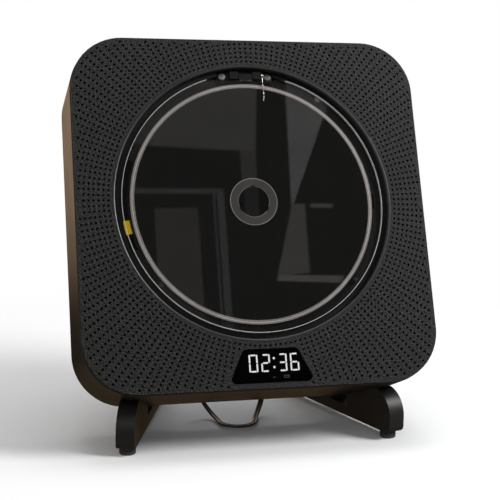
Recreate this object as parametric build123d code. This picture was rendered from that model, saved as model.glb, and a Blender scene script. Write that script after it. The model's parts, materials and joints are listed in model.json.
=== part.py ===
from build123d import *
from math import cos, hypot, radians, sin
import os

os.makedirs("parts", exist_ok=True)

# Millimetres. Most pieces are drawn in the player's own upright frame: X to the right, Y from the
# front plane to the back, Z up, origin where the disc's axis meets the front plane. They are leant
# back onto the feet at the end.

# Stance
lean = 23.2                # degrees the player leans back
edge_clearance = 11.7      # housing's lower rear edge above the floor

# Disc and turntable: the whole player is drawn round the disc
disc_radius = 60.0
disc_hole = 7.5
disc_thickness = 1.2
disc_level = 3.3
hub_radius = 7.35
hub_height = 0.8           # hub above the disc's face
platter_radius = 14.5
platter_thickness = 1.6
shaft_radius = 1.0
clamp_count = 3
clamp_width = 2.0
clamp_inner = 5.0
clamp_outer = 8.0
clamp_thickness = 0.45

# Disc well
well_margin = 7.3          # between the disc's edge and the well's wall
well_radius = disc_radius + well_margin
rim_width = 1.3
rim_depth = 1.0            # how far the rim reaches behind the front plate
rim_round = 0.5
well_wall = 2.0
shelf_width = 2.1
shelf_inner = well_radius - shelf_width
shelf_level = 3.0
deck_level = 5.6
deck_thickness = 1.8
hub_opening = 16.0
slot_half = 13.0
slot_start = 9.0
slot_inset = 4.0           # pickup's slot ends inside the disc's edge
slot_end = disc_radius - slot_inset
lens_slot_half = 4.0       # narrow end of the slot, for the lens alone
lens_slot_overrun = 2.0
lens_slot_end = disc_radius + lens_slot_overrun
rim_outer = well_radius + rim_width
deck_outer = rim_outer + well_wall

# Marker strip on the deck, beside the disc
strip_gap = 1.0            # between the disc's edge and the strip
strip_width = 3.0
strip_inner = disc_radius + strip_gap
strip_outer = strip_inner + strip_width
strip_thickness = 0.3
strip_angles = (160.0, 201.0)
mark_angles = (187.4, 193.6)

# Display
window_top = 26.2
window_bottom = 41.6
window_x = 1.7             # window's middle from the player's middle
window_height = 16.0
window_drop = 3.4          # front plate between the well and the window
window_z = -(rim_outer + window_drop + window_height / 2)
window_thickness = 1.6
window_round = 2.4
window_gap = 0.05
display_half = 15.5
display_margin = 1.7
display_height = window_height - 2 * display_margin
module_depth = 3.6
module_margin = 1.2
digit_margin = 2.1
digit_height = display_height - 2 * digit_margin
digit_width = 4.3
digit_pitch = 5.9
digit_middle = 3.5         # middle of the four digits from the player's middle
digit_rise = 1.5           # middle of the digits above the window's middle
colon_room = 8.2           # between the digits beside the colon
segment_width = 0.75
segment_depth = 0.5
segment_gap = 0.15
colon_radius = 0.55
colon_rise = 2.1

# Housing, laid out round the well and the display
cheek = 17.4               # front plate beside the well
brow = 13.4                # front plate above the well
chin = 3.0                 # front plate under the display
corner_radius = 26.0
body_depth = 50.0
back_round = 3.0           # rounding of the housing's rear edge
fit_gap = 0.1              # between housing shells that plug into each other
slip = 0.05                # round a piece that is pushed into a hole
root = 0.5                 # fused root of a boss or rib in its wall
overcut = 1.0              # cutters run past the face they open

body_width = 2 * (rim_outer + cheek)
body_top = rim_outer + brow
body_floor = window_z - window_height / 2 - chin
body_height = body_top - body_floor
mid_z = (body_top + body_floor) / 2

# Front plate
grille_thickness = 2.4
grille_inset = 0.4
grille_chamfer = 0.5
groove = 0.6               # shadow line between front plate and side band
skirt_wall = 1.1
skirt_length = 4.0

# Side band and rear cover
band_wall = 2.4
back_depth = 5.0           # depth of the rear cover's tray
back_wall = 2.4
back_face = body_depth - back_wall

# Dust cover and its hinge
lid_margin = 3.0           # between the lid's edge and the well's wall
lid_radius = well_radius - lid_margin
lid_level = 0.4
lid_thickness = 1.5
lid_flat_drop = 3.3        # straight edge below the top of the lid's circle
lid_flat = lid_radius - lid_flat_drop
hinge_level = 2.75
hinge_drop = 0.3           # pin below the top of the lid's circle
hinge_height = lid_radius - hinge_drop
pin_radius = 0.7
pin_fit = 0.03
knuckle_radius = 1.25
running_gap = 0.05         # running fits: hinge, shaft, rods and screw
tongue_half = 3.4
tongue_root = 0.6          # tongue's hold on the lid, under the straight edge
tongue_foot = lid_flat - tongue_root
lug_gap = 0.3
lug_width = 4.2
lug_reach = (2.0, 1.8)     # below and above the pin
lug_span = (hinge_height - lug_reach[0], hinge_height + lug_reach[1])
lug_front = 1.5
bracket_half = 14.0
bracket_overlap = 0.1      # bracket behind the lid's straight edge
bracket_foot = lid_flat - bracket_overlap
bracket_thickness = 1.4
bay_gap = 0.3
pin_overhang = 1.6
hinge_screw_x = 11.6
hinge_screw_drop = 0.4     # screws below the pin
hinge_screw_z = hinge_height - hinge_screw_drop
hinge_screw_radius = 0.8
hinge_head_radius = 1.6
hinge_head_height = 1.2
spring_wire = 0.24
spring_coil = 1.1
spring_turns = 3
spring_pitch = 0.46
spring_leg_level = 2.35
spring_leg_reach = 13.0    # down the back of the lid
spring_leg_end = hinge_height - spring_leg_reach

# Lid switch pin and bumpers
switch_angle = 55.0
switch_inset = 0.9         # pin's middle inside the lid's edge
switch_reach = lid_radius - switch_inset
switch_pin_radius = 1.5
switch_pin_length = 7.0
switch_size = 7.0
switch_depth = 4.6
switch_room = 2.6          # bore depth behind the deck
lid_rest_gap = 0.1
bumper_radius = 1.1
bumper_inset = 2.1
bumper_reach = lid_radius - bumper_inset
bumper_angles = (-40.0, -140.0)

# Disc mechanism
chassis_level = 11.0
chassis_thickness = 1.2
chassis_left = -31.0
chassis_half = 37.0
spindle_motor_radius = 12.0
spindle_motor_depth = 6.8
shaft_end = 16.0
chassis_bore = 2.5
damper_left = -24.0
damper_inset = 6.0         # right dampers inside the disc's edge
damper_x = (damper_left, disc_radius - damper_inset)
damper_z = 32.0
damper_radius = 3.5
damper_screw_radius = 1.2
damper_head_radius = 2.4
damper_head_height = 1.2
damper_thread = 1.2
rod_radius = 1.5
rod_level = 14.2
rod_offset = 18.0
rod_start = 8.6
lug_thickness = 2.5
rod_lug_half = 3.0
sled_start = 13.0
sled_length = 24.0
program_start = 27.0       # disc radius under the lens with the sled run in
sled_travel = disc_radius - program_start
sled_half = 12.0
sled_arm_half = 20.5
sled_front = 8.6
sled_gap = 0.2             # sled behind the chassis plate
sled_air = 1.0             # round the sled in the chassis window
sled_back = 16.2
rod_end = sled_start + sled_length + sled_travel + sled_gap + lug_thickness
chassis_lip = 1.0
chassis_right = rod_end + chassis_lip
lens_radius = 3.0
lens_height = 2.2
lens_socket = 0.6
screw_offset = -24.5
screw_radius = 1.4
nut_reach = -28.0
sled_motor_radius = 5.0
sled_motor_length = 22.0
motor_cell = 0.4           # air round the sled motor in the chassis

# Electronics
board_stand_off = 11.6
board_level = back_face - board_stand_off
board_thickness = 1.6
board_side_room = 27.0
board_foot = 20.0
board_top_room = 6.0
board_half = body_width / 2 - board_side_room
board_span = (board_foot, body_top - board_top_room)
post_radius = 2.5
post_inset = 7.0           # posts from the board's sides
post_rise = 6.0
post_drop = 9.0
post_x = board_half - post_inset
post_z = (board_span[0] + post_rise, board_span[1] - post_drop)
chip_depth = 1.6
chip_places = ((-30.0, 44.0, 14.0), (6.0, 40.0, 18.0), (36.0, 52.0, 9.0))
capacitor_places = ((-48.0, 34.0), (-46.0, 48.0), (46.0, 38.0))
capacitor_radius = 4.0
capacitor_height = 9.0
cell_radius = 9.0
cell_half = 32.5
cell_pitch = 18.4
cell_rise = 22.6           # middle of the lower cell above the housing's floor
cell_floor = body_floor + cell_rise
cell_z = (cell_floor + cell_pitch, cell_floor)
cell_gap = 0.2             # between the cells and the rear cover
cradle_lip = 1.6           # cradle's front behind the middle of the cells
cell_level = back_face - cell_radius - cell_gap
cradle_front = cell_level + cradle_lip
cradle_margin = 1.5
cradle_gap = 1.6           # between the cradle and the bosses of the feet

# Speakers
speaker_inset = 24.0       # speaker's middle from the housing's side
speaker_rise = 25.0        # and from its floor
speaker_x = body_width / 2 - speaker_inset
speaker_z = body_floor + speaker_rise
speaker_gap = 1.95         # between a speaker and the deck
speaker_radius = hypot(speaker_x, speaker_z) - deck_outer - speaker_gap
speaker_flange = 1.4
speaker_rim = 3.5
speaker_throat = speaker_radius - speaker_rim
basket_depth = 8.0
basket_wall = 1.2
magnet_inset = 4.5
magnet_radius = speaker_throat - magnet_inset
magnet_depth = 6.0
cone_wall = 0.6
cone_gap = 0.15
cone_depth = 5.0
cone_share = 0.6           # cone's flat base against the magnet
cone_base = cone_share * magnet_radius

# Buttons on the top edge
button_names = ("button_power", "button_mode", "button_previous", "button_play", "button_next")
button_pitch = 15.0
button_length = 11.0
button_width = 5.0
button_level = 20.0        # middle of the row, behind the front plane
button_proud = 0.9
button_flange = 1.2
button_flange_thickness = 1.4
button_gap = 0.15
button_travel = 0.7
key_board_thickness = 1.6
key_size = 5.0
key_height = 1.5
key_air = 0.1

# Sockets in the back
socket_inset = 26.0        # both sockets from the housing's sides
jack_x = -(body_width / 2 - socket_inset)
socket_z = -20.0
jack_radius = 4.0
jack_bore = 1.8
jack_depth = 12.0
inlet_x = body_width / 2 - socket_inset
inlet_width = 12.0
inlet_height = 6.0
inlet_depth = 10.0
inlet_slot = (9.0, 3.2, 7.0)
inlet_tongue = (6.6, 0.8, 5.5)

# Fastening of the rear cover
pillar_inset = 20.0        # upper pillars from the housing's sides and top
pillar_rise = 8.0          # lower pillars above its floor
pillar_low_x = 33.0
pillar_top = (body_width / 2 - pillar_inset, body_top - pillar_inset)
pillar_bottom = (pillar_low_x, body_floor + pillar_rise)
pillar_places = [(side * x, z) for x, z in (pillar_top, pillar_bottom) for side in (-1, 1)]
pillar_radius = 3.2
pillar_gap = 0.2
rear_screw_radius = 1.4
rear_screw_length = 14.0
rear_head_radius = 2.7
rear_head_height = 1.4

# Wall plate
plate_width = 42.0
plate_height = 26.0
plate_thickness = 1.6
plate_z = 50.0
plate_round = 3.0
peg_radius = 4.2
neck_half = 2.2
neck_rise = 9.0
peg_air = 1.0              # round the wall peg in the rear cover
plate_screw_x = 16.0
plate_screw_radius = 1.4
plate_screw_length = 4.0
plate_head_radius = 2.6
plate_head_height = 1.1

# Feet, drawn on edge: along the foot from its nose, and up from the floor
splay = 19.0               # degrees each foot turns in towards the rear
foot_thickness = 8.8
nose_reach = 38.7          # nose ahead of the housing's lower rear edge
foot_length = 108.0
foot_top = 24.0
foot_round = 13.0
foot_toe = 3.0
foot_back_height = 50.0
foot_ramp = 12.5           # run of the slope up to the back's height
foot_back_start = 53.0
foot_back_end = 64.0
foot_tail_height = 7.0
foot_back_round = 6.0
seat_gap = 0.05
relief = (7.0, 5.5, 3.0)   # air in front of, behind and under the housing's lower rear edge
relief_height = 16.0
flange_half = 11.5
flange_thickness = 3.0
flange_rise = 5.0          # flange's foot above the housing's floor
flange_height = 32.0
flange_span = (body_floor + flange_rise, body_floor + flange_rise + flange_height)
foot_screw_offset = 8.2
foot_screw_rise = 31.0
foot_screw_z = body_floor + foot_screw_rise
foot_screw_radius = 1.5
foot_screw_depth = 6.0
foot_head_radius = 2.9
foot_head_height = 2.2
driver_room = 6.6          # bore above the seat of the screw's head
boss_radius = 3.4
boss_depth = 4.4
pad_thickness = 3.5
pad_radius = 3.9
pad_ends = (6.5, 6.5)      # from nose and tail
pad_round = 0.6

# Carry loop of cord under the housing
cord_width = 2.8
grommet_x = (-22.0, 11.5)
grommet_rise = 12.0
grommet_z = body_floor + grommet_rise
grommet_radius = 3.2
grommet_proud = 1.6
cord_exit = 5.2            # straight run out of each grommet

band_front = grille_thickness + groove
band_back = body_depth - back_depth
deck_back = deck_level + deck_thickness
chassis_back = chassis_level + chassis_thickness
disc_back = disc_level + disc_thickness


def block(x, y, z):
    """Box between a low and a high value on each axis."""
    size = Box(x[1] - x[0], y[1] - y[0], z[1] - z[0])
    return Pos(sum(x) / 2, sum(y) / 2, sum(z) / 2) * size


def drum(radius, depth, x=0.0, z=0.0):
    """Cylinder along the depth axis."""
    return Pos(x, sum(depth) / 2, z) * Rot(90, 0, 0) * Cylinder(radius, depth[1] - depth[0])


def bar(radius, span, y, z):
    """Cylinder across the player."""
    return Pos(sum(span) / 2, y, z) * Rot(0, 90, 0) * Cylinder(radius, span[1] - span[0])


def slab(inset, depth):
    """The housing's rounded outline, drawn in by an inset, as a plate."""
    outline = RectangleRounded(body_width - 2 * inset, body_height - 2 * inset, corner_radius - inset)
    return Pos(0, depth[1], mid_z) * Rot(90, 0, 0) * extrude(outline, depth[1] - depth[0])


def on_circle(reach, angle):
    return reach * cos(radians(angle)), reach * sin(radians(angle))


def group(solids):
    return Compound(list(solids))


parts = {}


def rear_rim(plate):
    return plate.faces().sort_by(Axis.Y)[-1].outer_wire().edges()


# ---- Housing ----

def window_plate(depth, grow=0.0):
    half_top = window_top / 2 + grow
    half_bottom = window_bottom / 2 + grow
    half_height = window_height / 2 + grow
    outline = Polygon(
        (-half_bottom, -half_height),
        (half_bottom, -half_height),
        (half_top, half_height),
        (-half_top, half_height),
        align=None,
    )
    outline = fillet(outline.vertices(), window_round + grow)
    return Pos(window_x, depth[1], window_z) * Rot(90, 0, 0) * extrude(outline, depth[1] - depth[0])


def front_grille():
    plate = slab(grille_inset, (0, grille_thickness))
    plate = chamfer(plate.faces().sort_by(Axis.Y)[0].outer_wire().edges(), grille_chamfer)
    skirt_edge = band_wall + fit_gap
    skirt_depth = (grille_thickness - root, grille_thickness + skirt_length)
    plate += slab(skirt_edge, skirt_depth) - slab(skirt_edge + skirt_wall, skirt_depth)
    for x, z in pillar_places:
        plate += drum(pillar_radius, (grille_thickness - root, back_face - pillar_gap), x, z)
        plate -= drum(rear_screw_radius + slip, (body_depth - rear_screw_length - slip, body_depth), x, z)
    plate -= drum(rim_outer + slip, (-overcut, grille_thickness + overcut))
    plate -= window_plate((-overcut, window_thickness + window_gap), window_gap)
    half_height = display_height / 2
    opening = (window_z - half_height, window_z + half_height)
    opening_x = (window_x - display_half, window_x + display_half)
    plate -= block(opening_x, (0, grille_thickness + overcut), opening)
    return plate


def side_band():
    depth = (band_front, band_back)
    band = slab(0, depth) - slab(band_wall, depth)
    half_length = button_length / 2 + button_gap
    half_width = button_width / 2 + button_gap
    for x in button_middles:
        hole_x = (x - half_length, x + half_length)
        hole_y = (button_level - half_width, button_level + half_width)
        band -= block(hole_x, hole_y, (body_top - band_wall - overcut, body_top + overcut))
    return band


def rear_cover():
    cover = slab(0, (band_back, body_depth))
    cover = fillet(rear_rim(cover), back_round)
    cover -= slab(band_wall, (band_back - overcut, back_face))
    skirt_edge = band_wall + fit_gap
    skirt_depth = (band_back - skirt_length, back_face + root)
    cover += slab(skirt_edge, skirt_depth) - slab(skirt_edge + skirt_wall, skirt_depth)
    board_back = board_level + board_thickness
    for x in (-post_x, post_x):
        for z in post_z:
            cover += drum(post_radius, (board_back, back_face + root), x, z)
    for x, z in foot_screw_places:
        cover += drum(boss_radius, (back_face - boss_depth, back_face + root), x, z)
        foot_thread = (body_depth - foot_screw_depth - slip, body_depth + overcut)
        cover -= drum(foot_screw_radius + slip, foot_thread, x, z)
    for x, z in pillar_places:
        cover -= drum(rear_screw_radius + slip, (back_face - overcut, body_depth + overcut), x, z)
        cover -= drum(rear_head_radius + slip, (body_depth - rear_head_height, body_depth + overcut), x, z)
    for x in (-plate_screw_x, plate_screw_x):
        cover += drum(boss_radius, (back_face - boss_depth, back_face + root), x, plate_z)
        plate_thread = (body_depth - plate_screw_length, body_depth + overcut)
        cover -= drum(plate_screw_radius + slip, plate_thread, x, plate_z)
    peg_x = (-peg_radius - peg_air, peg_radius + peg_air)
    peg_z = (plate_z - peg_radius - peg_air, plate_z + neck_rise + peg_radius)
    cover -= block(peg_x, (back_face - overcut, body_depth + overcut), peg_z)
    cover -= drum(jack_radius + slip, (back_face - overcut, body_depth + overcut), jack_x, socket_z)
    cover -= inlet_block((back_face - overcut, body_depth + overcut), slip)
    for x in grommet_x:
        cover -= drum(grommet_radius + slip, (back_face - overcut, body_depth + overcut), x, grommet_z)
    return cover


def well_rim():
    ring = drum(rim_outer, (0, grille_thickness + rim_depth))
    ring -= drum(well_radius, (-overcut, grille_thickness + rim_depth + overcut))
    front = ring.faces().sort_by(Axis.Y)[0]
    return fillet(front.edges(), rim_round)


def deck():
    tray = drum(deck_outer, (grille_thickness, deck_back))
    tray -= drum(rim_outer + slip, (0, grille_thickness + rim_depth + slip))
    tray -= drum(well_radius, (0, shelf_level))
    tray -= drum(shelf_inner, (0, deck_level))
    bay_x = (-bracket_half - bay_gap, bracket_half + bay_gap)
    bay = block(bay_x, (0, deck_level), (bracket_foot - bay_gap, well_radius))
    tray -= bay & drum(well_radius, (0, deck_level))
    tray -= drum(hub_opening, (0, deck_back + overcut))
    tray -= block((slot_start, slot_end), (0, deck_back + overcut), (-slot_half, slot_half))
    tray -= block((slot_start, lens_slot_end), (0, deck_back + overcut), (-lens_slot_half, lens_slot_half))
    for x, z in damper_places:
        tray -= drum(damper_screw_radius + slip, (deck_back - damper_thread, deck_back + overcut), x, z)
    tray -= drum(switch_pin_radius + running_gap, (0, deck_back + overcut), *switch_place)
    for x in (-hinge_screw_x, hinge_screw_x):
        tray -= drum(hinge_screw_radius + slip, (0, deck_back + overcut), x, hinge_screw_z)
    return tray


def sector(inner, outer, angles, depth):
    """Part of a ring about the disc axis, between two angles."""
    start, end = angles
    outline = make_face(
        Wire([
            Edge.make_circle(outer, start_angle=start, end_angle=end),
            Line(on_circle(outer, end), on_circle(inner, end)).edge(),
            Edge.make_circle(inner, start_angle=start, end_angle=end),
            Line(on_circle(inner, start), on_circle(outer, start)).edge(),
        ])
    )
    return Pos(0, depth[1], 0) * Rot(90, 0, 0) * extrude(outline, depth[1] - depth[0])


# ---- Disc and turntable ----

def clamp(index):
    turn = index * 360 / clamp_count + 90
    level = disc_level - slip
    half_width = clamp_width / 2
    finger = block((clamp_inner, clamp_outer), (level - clamp_thickness, level), (-half_width, half_width))
    return Rot(0, -turn, 0) * finger


def turntable():
    table = drum(platter_radius, (disc_back, disc_back + platter_thickness))
    table += drum(hub_radius, (disc_level - hub_height, disc_back + root))
    table += drum(shaft_radius, (disc_level - hub_height, shaft_end))
    for index in range(clamp_count):
        table -= clamp(index)
    return table


# ---- Dust cover and hinge ----

def dust_cover():
    lid_back = lid_level + lid_thickness
    lid = drum(lid_radius, (lid_level, lid_back))
    lid -= block((-lid_radius, lid_radius), (0, lid_back + overcut), (lid_flat, lid_radius + overcut))
    knuckle_x = (-tongue_half, tongue_half)
    lid += block(knuckle_x, (hinge_level - knuckle_radius, hinge_level), (tongue_foot, hinge_height))
    lid += bar(knuckle_radius, knuckle_x, hinge_level, hinge_height)
    lid -= bar(pin_radius + running_gap, (-lid_radius, lid_radius), hinge_level, hinge_height)
    return lid


def hinge_bracket():
    level = deck_level - bracket_thickness
    base = block((-bracket_half, bracket_half), (level, deck_level), (bracket_foot, well_radius))
    base = base & drum(well_radius - bay_gap, (0, deck_level))
    for side in (-1, 1):
        near = side * (tongue_half + lug_gap)
        far = side * (tongue_half + lug_gap + lug_width)
        lug_x = (min(near, far), max(near, far))
        base += block(lug_x, (lug_front, level + root), lug_span)
        screw_x = side * hinge_screw_x
        base -= drum(hinge_screw_radius + slip, (0, deck_level + overcut), screw_x, hinge_screw_z)
    base -= bar(pin_radius + pin_fit, (-bracket_half, bracket_half), hinge_level, hinge_height)
    return base


def hinge_pin():
    lug_end = tongue_half + lug_gap + lug_width
    return bar(pin_radius, (-lug_end, lug_end + pin_overhang), hinge_level, hinge_height)


def hinge_screws():
    level = deck_level - bracket_thickness
    for x in (-hinge_screw_x, hinge_screw_x):
        shank = drum(hinge_screw_radius, (level - root, deck_back), x, hinge_screw_z)
        yield shank + drum(hinge_head_radius, (level - hinge_head_height, level), x, hinge_screw_z)


def lid_spring():
    start = tongue_half + lug_gap + lug_width + spring_wire + slip
    coil = None
    for turn in range(spring_turns):
        ring = Rot(0, 90, 0) * Torus(spring_coil, spring_wire)
        ring = Pos(start + turn * spring_pitch, hinge_level, hinge_height) * ring
        coil = ring if coil is None else coil + ring
    leg_x = start + (spring_turns - overcut) * spring_pitch / 2
    leg_top = hinge_height - spring_coil + spring_wire / 2
    leg_length = leg_top - spring_leg_end
    leg = Pos(leg_x, spring_leg_level, leg_top - leg_length / 2) * Cylinder(spring_wire, leg_length)
    return coil + leg


def lid_switch_pin():
    start = lid_level + lid_thickness + lid_rest_gap
    return drum(switch_pin_radius, (start, start + switch_pin_length), *switch_place)


def lid_switch():
    x, z = switch_place
    half = switch_size / 2
    case = block((x - half, x + half), (deck_back, deck_back + switch_depth), (z - half, z + half))
    bore = (deck_back - overcut, deck_back + switch_room)
    return case - drum(switch_pin_radius + 2 * running_gap, bore, x, z)


def lid_bumpers():
    start = lid_level + lid_thickness + lid_rest_gap
    for angle in bumper_angles:
        x, z = on_circle(bumper_reach, angle)
        yield drum(bumper_radius, (start, deck_level), x, z)


# ---- Disc mechanism ----

def chassis():
    plate = block((chassis_left, chassis_right), (chassis_level, chassis_back), (-chassis_half, chassis_half))
    travel_end = sled_start + sled_length + sled_travel
    arm = sled_half + sled_air
    window_x = (sled_start - sled_air, travel_end + sled_air)
    plate -= block(window_x, (chassis_level - overcut, chassis_back + overcut), (-arm, arm))
    plate -= drum(chassis_bore, (chassis_level - overcut, chassis_back + overcut))
    lug_back = rod_level + rod_lug_half
    for x in (rod_start, rod_end - lug_thickness):
        for z in (-rod_offset, rod_offset, screw_offset):
            lug_x = (x, x + lug_thickness)
            lug_z = (z - rod_lug_half, z + rod_lug_half)
            plate += block(lug_x, (chassis_back - root, lug_back), lug_z)
    cell = sled_motor_radius + motor_cell
    motor_z = (screw_offset - cell, screw_offset + cell)
    motor_x = (rod_start - sled_motor_length - motor_cell, rod_start)
    plate -= block(motor_x, (chassis_level - overcut, chassis_back + overcut), motor_z)
    for z in (-rod_offset, rod_offset):
        plate -= bar(rod_radius + slip, (rod_start - overcut, rod_end + overcut), rod_level, z)
    journal = (rod_start - overcut, rod_end + overcut)
    plate -= bar(screw_radius + running_gap, journal, rod_level, screw_offset)
    for x, z in damper_places:
        plate -= drum(damper_screw_radius + slip, (chassis_level - overcut, chassis_back + overcut), x, z)
    return plate


def spindle_motor():
    can = drum(spindle_motor_radius, (chassis_back, chassis_back + spindle_motor_depth))
    return can - drum(shaft_radius + running_gap, (chassis_level, shaft_end + slip))


def pickup_sled():
    sled_x = (sled_start, sled_start + sled_length)
    arm_front = chassis_back + sled_gap
    sled = block(sled_x, (sled_front, arm_front + root), (-sled_half, sled_half))
    sled += block(sled_x, (arm_front, sled_back), (nut_reach, sled_arm_half))
    whole = (sled_start - overcut, sled_start + sled_length + overcut)
    for z in (-rod_offset, rod_offset):
        sled -= bar(rod_radius + running_gap, whole, rod_level, z)
    sled -= bar(screw_radius + running_gap, whole, rod_level, screw_offset)
    lens_x = sled_start + sled_length / 2
    return sled - drum(lens_radius + slip, (sled_front - overcut, sled_front + lens_socket), lens_x, 0)


def pickup_lens():
    lens_x = sled_start + sled_length / 2
    barrel = drum(lens_radius, (sled_front - lens_height, sled_front + lens_socket), lens_x, 0)
    return chamfer(barrel.faces().sort_by(Axis.Y)[0].edges(), lens_socket)


def dampers():
    for x, z in damper_places:
        ring = drum(damper_radius, (deck_back, chassis_level), x, z)
        yield ring - drum(damper_screw_radius + slip, (deck_back - overcut, chassis_level + overcut), x, z)


def damper_screws():
    for x, z in damper_places:
        shank = drum(damper_screw_radius, (deck_back - damper_thread, chassis_back + root), x, z)
        yield shank + drum(damper_head_radius, (chassis_back, chassis_back + damper_head_height), x, z)


def guide_rods():
    for z in (-rod_offset, rod_offset):
        yield bar(rod_radius, (rod_start, rod_end), rod_level, z)


def sled_motor():
    end = rod_start - running_gap
    return bar(sled_motor_radius, (end - sled_motor_length, end), rod_level, screw_offset)


# ---- Electronics ----

def main_board():
    board_back = board_level + board_thickness
    return block((-board_half, board_half), (board_level, board_back), board_span)


def board_parts():
    for x, z, size in chip_places:
        half = size / 2
        yield block((x - half, x + half), (board_level - chip_depth, board_level), (z - half, z + half))
    for x, z in capacitor_places:
        yield drum(capacitor_radius, (board_level - capacitor_height, board_level), x, z)


def battery_cradle():
    reach = cell_radius + cradle_margin
    tray_z = (cell_z[1] - reach, cell_z[0] + reach)
    half = cell_half + cradle_margin
    tray = block((-half, half), (cradle_front, back_face), tray_z)
    for z in cell_z:
        tray -= bar(cell_radius + slip, (-cell_half - slip, cell_half + slip), cell_level, z)
    return tray


def battery_cells():
    for z in cell_z:
        yield bar(cell_radius, (-cell_half, cell_half), cell_level, z)


def display_module():
    level = grille_thickness + slip
    half_height = display_height / 2 + module_margin / 2
    half = display_half + module_margin
    module_z = (window_z - half_height, window_z + half_height)
    return block((window_x - half, window_x + half), (level, level + module_depth), module_z)


# Segment order: top, upper right, lower right, bottom, lower left, upper left, middle
digit_shapes = {
    "0": (0, 1, 2, 3, 4, 5),
    "2": (0, 1, 6, 4, 3),
    "3": (0, 1, 6, 2, 3),
    "6": (0, 5, 6, 4, 2, 3),
}
shown_digits = "0236"


def segment_boxes(middle):
    half_width = digit_width / 2
    half_height = digit_height / 2
    inner = segment_width + segment_gap
    across = (middle - half_width + inner, middle + half_width - inner)
    right = (middle + half_width - segment_width, middle + half_width)
    left = (middle - half_width, middle - half_width + segment_width)
    upper = (segment_gap, half_height - segment_gap)
    lower = (-half_height + segment_gap, -segment_gap)
    return (
        (across, (half_height - segment_width, half_height)),
        (right, upper),
        (right, lower),
        (across, (-half_height, -half_height + segment_width)),
        (left, lower),
        (left, upper),
        (across, (-segment_width / 2, segment_width / 2)),
    )


def display_segments():
    depth = (window_thickness + 2 * slip, window_thickness + 2 * slip + segment_depth)
    level = window_z + digit_rise
    inner = colon_room / 2
    outer = inner + digit_pitch
    for digit, place in zip(shown_digits, (-outer, -inner, inner, outer)):
        boxes = segment_boxes(digit_middle + place)
        for index in digit_shapes[digit]:
            x, z = boxes[index]
            yield block(x, depth, (level + z[0], level + z[1]))
    for rise in (-colon_rise, colon_rise):
        yield drum(colon_radius, depth, digit_middle, level + rise)


# ---- Speakers ----

def turned(points, x, z):
    """Solid of revolution about the depth axis, from points of radius and depth."""
    outline = make_face(Polyline([(radius, depth) for radius, depth in points], close=True).edges())
    return Pos(x, 0, z) * revolve(outline, Axis.Y)


def speaker(x):
    front = grille_thickness
    flange = front + speaker_flange
    throat = flange + basket_depth
    profile = (
        (speaker_throat, front),
        (speaker_radius, front),
        (speaker_radius, flange),
        (speaker_throat + basket_wall, flange),
        (magnet_radius, throat),
        (magnet_radius, throat + magnet_depth),
        (0, throat + magnet_depth),
        (0, throat - basket_wall),
        (magnet_radius - basket_wall, throat - basket_wall),
        (speaker_throat, flange),
    )
    return turned(profile, x, speaker_z)


def speaker_cone(x):
    front = grille_thickness + speaker_flange / 2
    rim = speaker_throat - cone_gap
    back = front + cone_depth
    profile = (
        (rim, front),
        (rim, front + cone_wall),
        (cone_base, back + cone_wall),
        (0, back + cone_wall),
        (0, back),
        (cone_base, back),
        (rim - cone_wall, front),
    )
    return turned(profile, x, speaker_z)


# ---- Buttons ----

button_middles = [(place - (len(button_names) - 1) / 2) * button_pitch for place in range(len(button_names))]
key_top = body_top - band_wall - button_flange_thickness - running_gap - button_travel - key_air


def button(x):
    half_length = button_length / 2
    half_width = button_width / 2
    flange_top = body_top - band_wall - running_gap
    cap_z = (flange_top - button_flange_thickness, body_top + button_proud)
    cap_y = (button_level - half_width, button_level + half_width)
    cap = block((x - half_length, x + half_length), cap_y, cap_z)
    cap = fillet(cap.faces().sort_by(Axis.Z)[-1].edges(), button_proud / 2)
    half_length += button_flange
    half_width += button_flange
    flange_z = (flange_top - button_flange_thickness, flange_top)
    flange_y = (button_level - half_width, button_level + half_width)
    return cap + block((x - half_length, x + half_length), flange_y, flange_z)


def key_board():
    top = key_top - key_height
    reach = button_middles[-1] + button_length
    board = block((-reach, reach), (button_level - key_size, board_level), (top - key_board_thickness, top))
    for x in button_middles:
        half = key_size / 2
        key_y = (button_level - half, button_level + half)
        board += block((x - half, x + half), key_y, (top - root, key_top))
    return board


# ---- Sockets, screws and wall plate ----

def headphone_jack():
    barrel = drum(jack_radius, (body_depth - jack_depth, body_depth), jack_x, socket_z)
    return barrel - drum(jack_bore, (body_depth - jack_depth, body_depth + overcut), jack_x, socket_z)


def inlet_block(depth, grow=0.0):
    half_width = inlet_width / 2 + grow
    half_height = inlet_height / 2 + grow
    shell_x = (inlet_x - half_width, inlet_x + half_width)
    return block(shell_x, depth, (socket_z - half_height, socket_z + half_height))


def power_inlet():
    shell = inlet_block((body_depth - inlet_depth, body_depth))
    width, height, depth = inlet_slot
    slot_x = (inlet_x - width / 2, inlet_x + width / 2)
    slot_z = (socket_z - height / 2, socket_z + height / 2)
    shell -= block(slot_x, (body_depth - depth, body_depth + overcut), slot_z)
    width, height, reach = inlet_tongue
    tongue_x = (inlet_x - width / 2, inlet_x + width / 2)
    tongue_z = (socket_z - height / 2, socket_z + height / 2)
    start = body_depth - depth
    return shell + block(tongue_x, (start - root, start + reach), tongue_z)


def rear_screws():
    for x, z in pillar_places:
        head_start = body_depth - rear_head_height
        shank = drum(rear_screw_radius, (body_depth - rear_screw_length, head_start + root), x, z)
        yield shank + drum(rear_head_radius, (head_start, body_depth), x, z)


def wall_plate():
    outline = RectangleRounded(plate_width, plate_height, plate_round)
    plate = Pos(0, body_depth + plate_thickness, plate_z) * Rot(90, 0, 0) * extrude(outline, plate_thickness)
    cut = (body_depth - overcut, body_depth + plate_thickness + overcut)
    plate -= drum(peg_radius, cut, 0, plate_z)
    plate -= block((-neck_half, neck_half), cut, (plate_z, plate_z + neck_rise))
    for x in (-plate_screw_x, plate_screw_x):
        plate -= drum(plate_screw_radius + slip, cut, x, plate_z)
    return plate


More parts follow.
